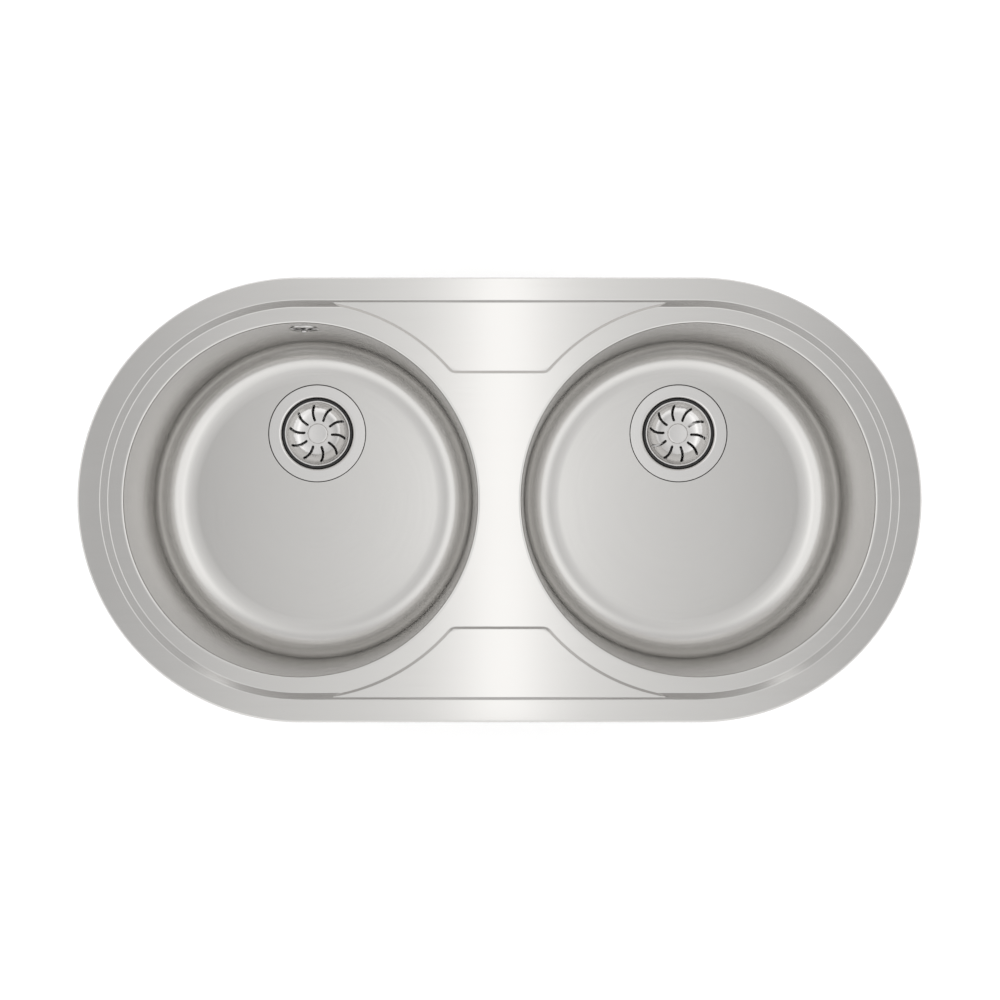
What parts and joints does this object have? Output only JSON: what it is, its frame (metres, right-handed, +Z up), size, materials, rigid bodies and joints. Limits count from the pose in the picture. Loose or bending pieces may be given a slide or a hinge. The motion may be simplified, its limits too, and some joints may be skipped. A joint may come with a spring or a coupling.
{
  "type": "double bowl kitchen sink",
  "caption": "Inset stainless steel kitchen sink: round bowls in a stadium-shaped pressed deck, with basket strainer wastes, an overflow and turning worktop clips.",
  "frame": {"origin": "centre of the worktop cut-out, in the plane of the worktop's top face", "axes": "+X to the right along the length, +Y to the back, +Z up"},
  "size_m": [0.835, 0.44, 0.2593],
  "materials": {
    "satin_steel": "satin brushed",
    "polished_steel": "polished",
    "zinc_steel": "zinc plated",
    "black_rubber": "matt",
    "grey_foam": "closed-cell foam",
    "sound_pad": "matt bitumen pad",
    "white_plastic": "moulded polypropylene",
    "grey_plastic": "moulded"
  },
  "bodies": {
    "sink": {"deck": "satin_steel", "rim_seal": "grey_foam", "bowl_left": "satin_steel", "bowl_right": "satin_steel", "sound_pad_left": "sound_pad", "sound_pad_right": "sound_pad", "strainer_cup_left": "polished_steel", "strainer_cup_right": "polished_steel", "flange_gasket_left": "black_rubber", "flange_gasket_right": "black_rubber", "body_gasket_left": "black_rubber", "body_gasket_right": "black_rubber", "waste_body_left": "white_plastic", "waste_body_right": "white_plastic", "waste_screw_left": "polished_steel", "waste_screw_right": "polished_steel", "overflow_rosette": "polished_steel", "overflow_screw": "polished_steel", "overflow_gasket": "black_rubber", "overflow_elbow": "white_plastic", "overflow_hose": "grey_plastic", "hose_clamp_upper": "zinc_steel", "hose_clamp_lower": "zinc_steel", "clip_bracket_front_left": "satin_steel", "clip_bracket_front_right": "satin_steel", "clip_bracket_rear_left": "satin_steel", "clip_bracket_rear_right": "satin_steel", "clip_bracket_left_front": "satin_steel", "clip_bracket_left_rear": "satin_steel", "clip_bracket_right_front": "satin_steel", "clip_bracket_right_rear": "satin_steel", "clip_screw_front_left": "zinc_steel", "clip_screw_front_right": "zinc_steel", "clip_screw_rear_left": "zinc_steel", "clip_screw_rear_right": "zinc_steel", "clip_screw_left_front": "zinc_steel", "clip_screw_left_rear": "zinc_steel", "clip_screw_right_front": "zinc_steel", "clip_screw_right_rear": "zinc_steel"},
    "basket_left": {"basket_pan_left": "polished_steel", "basket_seal_left": "black_rubber", "basket_knob_left": "polished_steel", "basket_stem_left": "grey_plastic"},
    "basket_right": {"basket_pan_right": "polished_steel", "basket_seal_right": "black_rubber", "basket_knob_right": "polished_steel", "basket_stem_right": "grey_plastic"},
    "claw_front_left": {"clip_claw_front_left": "zinc_steel"},
    "claw_front_right": {"clip_claw_front_right": "zinc_steel"},
    "claw_rear_left": {"clip_claw_rear_left": "zinc_steel"},
    "claw_rear_right": {"clip_claw_rear_right": "zinc_steel"},
    "claw_left_front": {"clip_claw_left_front": "zinc_steel"},
    "claw_left_rear": {"clip_claw_left_rear": "zinc_steel"},
    "claw_right_front": {"clip_claw_right_front": "zinc_steel"},
    "claw_right_rear": {"clip_claw_right_rear": "zinc_steel"}
  },
  "joints": [
    {"name": "basket_left_lift", "type": "slide", "parent": "sink", "child": "basket_left", "axis": [0, 0, 1], "range_m": [0, 0.215]},
    {"name": "basket_right_lift", "type": "slide", "parent": "sink", "child": "basket_right", "axis": [0, 0, 1], "range_m": [0, 0.215]},
    {"name": "claw_front_left_turn", "type": "hinge", "parent": "sink", "child": "claw_front_left", "pos_m": [-0.095, -0.198, -0.0433], "axis": [0, 0, 1], "range_deg": [-90, 90]},
    {"name": "claw_front_right_turn", "type": "hinge", "parent": "sink", "child": "claw_front_right", "pos_m": [0.095, -0.198, -0.0433], "axis": [0, 0, 1], "range_deg": [-90, 90]},
    {"name": "claw_rear_left_turn", "type": "hinge", "parent": "sink", "child": "claw_rear_left", "pos_m": [-0.095, 0.198, -0.0433], "axis": [0, 0, 1], "range_deg": [-90, 90]},
    {"name": "claw_rear_right_turn", "type": "hinge", "parent": "sink", "child": "claw_rear_right", "pos_m": [0.095, 0.198, -0.0433], "axis": [0, 0, 1], "range_deg": [-90, 90]},
    {"name": "claw_left_front_turn", "type": "hinge", "parent": "sink", "child": "claw_left_front", "pos_m": [-0.34918, -0.12727, -0.0433], "axis": [0, 0, 1], "range_deg": [-90, 90]},
    {"name": "claw_left_rear_turn", "type": "hinge", "parent": "sink", "child": "claw_left_rear", "pos_m": [-0.34918, 0.12727, -0.0433], "axis": [0, 0, 1], "range_deg": [-90, 90]},
    {"name": "claw_right_front_turn", "type": "hinge", "parent": "sink", "child": "claw_right_front", "pos_m": [0.34918, -0.12727, -0.0433], "axis": [0, 0, 1], "range_deg": [-90, 90]},
    {"name": "claw_right_rear_turn", "type": "hinge", "parent": "sink", "child": "claw_right_rear", "pos_m": [0.34918, 0.12727, -0.0433], "axis": [0, 0, 1], "range_deg": [-90, 90]}
  ]
}
